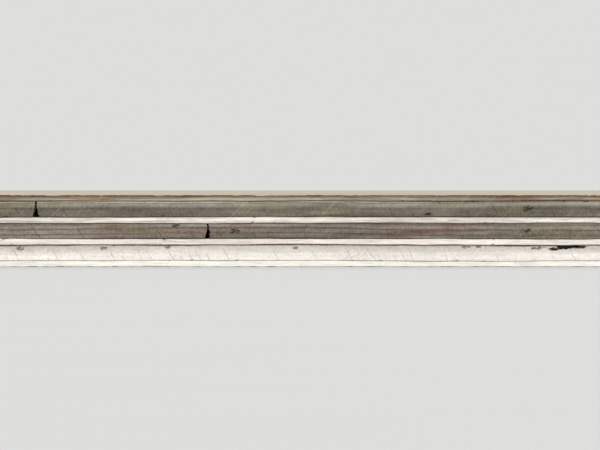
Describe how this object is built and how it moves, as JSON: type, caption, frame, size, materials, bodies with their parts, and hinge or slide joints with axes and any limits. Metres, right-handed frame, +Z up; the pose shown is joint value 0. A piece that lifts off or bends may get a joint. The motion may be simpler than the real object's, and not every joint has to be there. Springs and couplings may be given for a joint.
{
  "type": "plywood sheet",
  "caption": "Flat rectangular plywood sheet of veneers glued crosswise, with square sawn edges that show the thin long-grain plies and the thick crossbands.",
  "frame": {"origin": "middle of the underside, on the floor that the sheet lies on", "axes": "+X along the length and the grain of the outer veneers, +Y along the width away from the front edge, +Z up through the thickness"},
  "size_m": [2.44, 1.22, 0.018],
  "materials": {
    "outer_veneer": "sanded rotary-cut veneer",
    "long_core": "sawn side grain",
    "crossband": "sawn end grain"
  },
  "bodies": {
    "root": {"back_veneer": "outer_veneer", "lower_crossband": "crossband", "lower_long_core": "long_core", "middle_crossband": "crossband", "upper_long_core": "long_core", "upper_crossband": "crossband", "face_veneer": "outer_veneer"}
  },
  "joints": []
}
